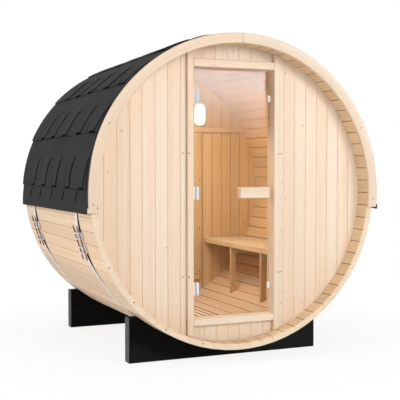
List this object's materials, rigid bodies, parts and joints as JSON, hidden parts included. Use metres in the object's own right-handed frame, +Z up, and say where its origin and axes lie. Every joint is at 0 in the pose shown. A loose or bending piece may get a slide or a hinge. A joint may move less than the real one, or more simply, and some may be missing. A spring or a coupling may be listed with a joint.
{
  "type": "barrel sauna",
  "caption": "Barrel-shaped sauna cabin of wooden staves on two cradles, with a hinged glass door, a bench inside and a dark shingle roof.",
  "frame": {"origin": "on the ground under the middle of the barrel's bounding box", "axes": "+Z up, the barrel's axis along Y with the door facing -Y, +X to the right seen from the front"},
  "size_m": [1.95, 1.682, 2.0053],
  "materials": {
    "pale_wood": "planed spruce, untreated",
    "stave_wood": "planed spruce, untreated",
    "inner_wood": "planed spruce, warm tone",
    "black_timber": "black stain",
    "shingle": "granulated bitumen felt, charcoal",
    "steel": "galvanised",
    "hinge_metal": "satin",
    "door_glass": "clear toughened glass",
    "white_plastic": "white",
    "lamp_glass": "opal glass"
  },
  "bodies": {
    "cabin": {"front_cradle": "black_timber", "rear_cradle": "black_timber", "staves_floor": "stave_wood", "staves_low_right": "stave_wood", "staves_right": "stave_wood", "staves_high_right": "stave_wood", "staves_crown": "stave_wood", "staves_high_left": "stave_wood", "staves_left": "stave_wood", "staves_low_left": "stave_wood", "front_wall_left": "pale_wood", "front_wall_right": "pale_wood", "front_wall_top": "pale_wood", "front_wall_bottom": "pale_wood", "left_jamb": "pale_wood", "right_jamb": "pale_wood", "door_header": "pale_wood", "door_sill": "pale_wood", "rear_wall": "inner_wood", "rear_top_batten": "inner_wood", "rear_low_batten": "inner_wood", "rear_posts": "inner_wood", "lamp_base": "white_plastic", "lamp_cover": "lamp_glass", "hinge_brackets": "hinge_metal", "bench_slats": "inner_wood", "bench_bearers": "inner_wood", "bench_legs": "inner_wood", "duckboard_slats": "stave_wood", "duckboard_bearers": "stave_wood", "front_band": "steel", "rear_band": "steel", "tensioner_brackets": "steel", "tensioner_rods": "steel", "fascia_left": "pale_wood", "fascia_right": "pale_wood", "shingles_left": "shingle", "shingles_right": "shingle", "ridge_cap": "shingle"},
    "door": {"door_glass": "door_glass", "door_handle": "pale_wood", "hinge_plates": "hinge_metal", "door_catches": "white_plastic"}
  },
  "joints": [
    {"name": "door_hinge", "type": "hinge", "parent": "cabin", "child": "door", "pos_m": [-0.268, -0.6758, 1.032], "axis": [0, 0, -1], "range_deg": [0, 90]}
  ]
}
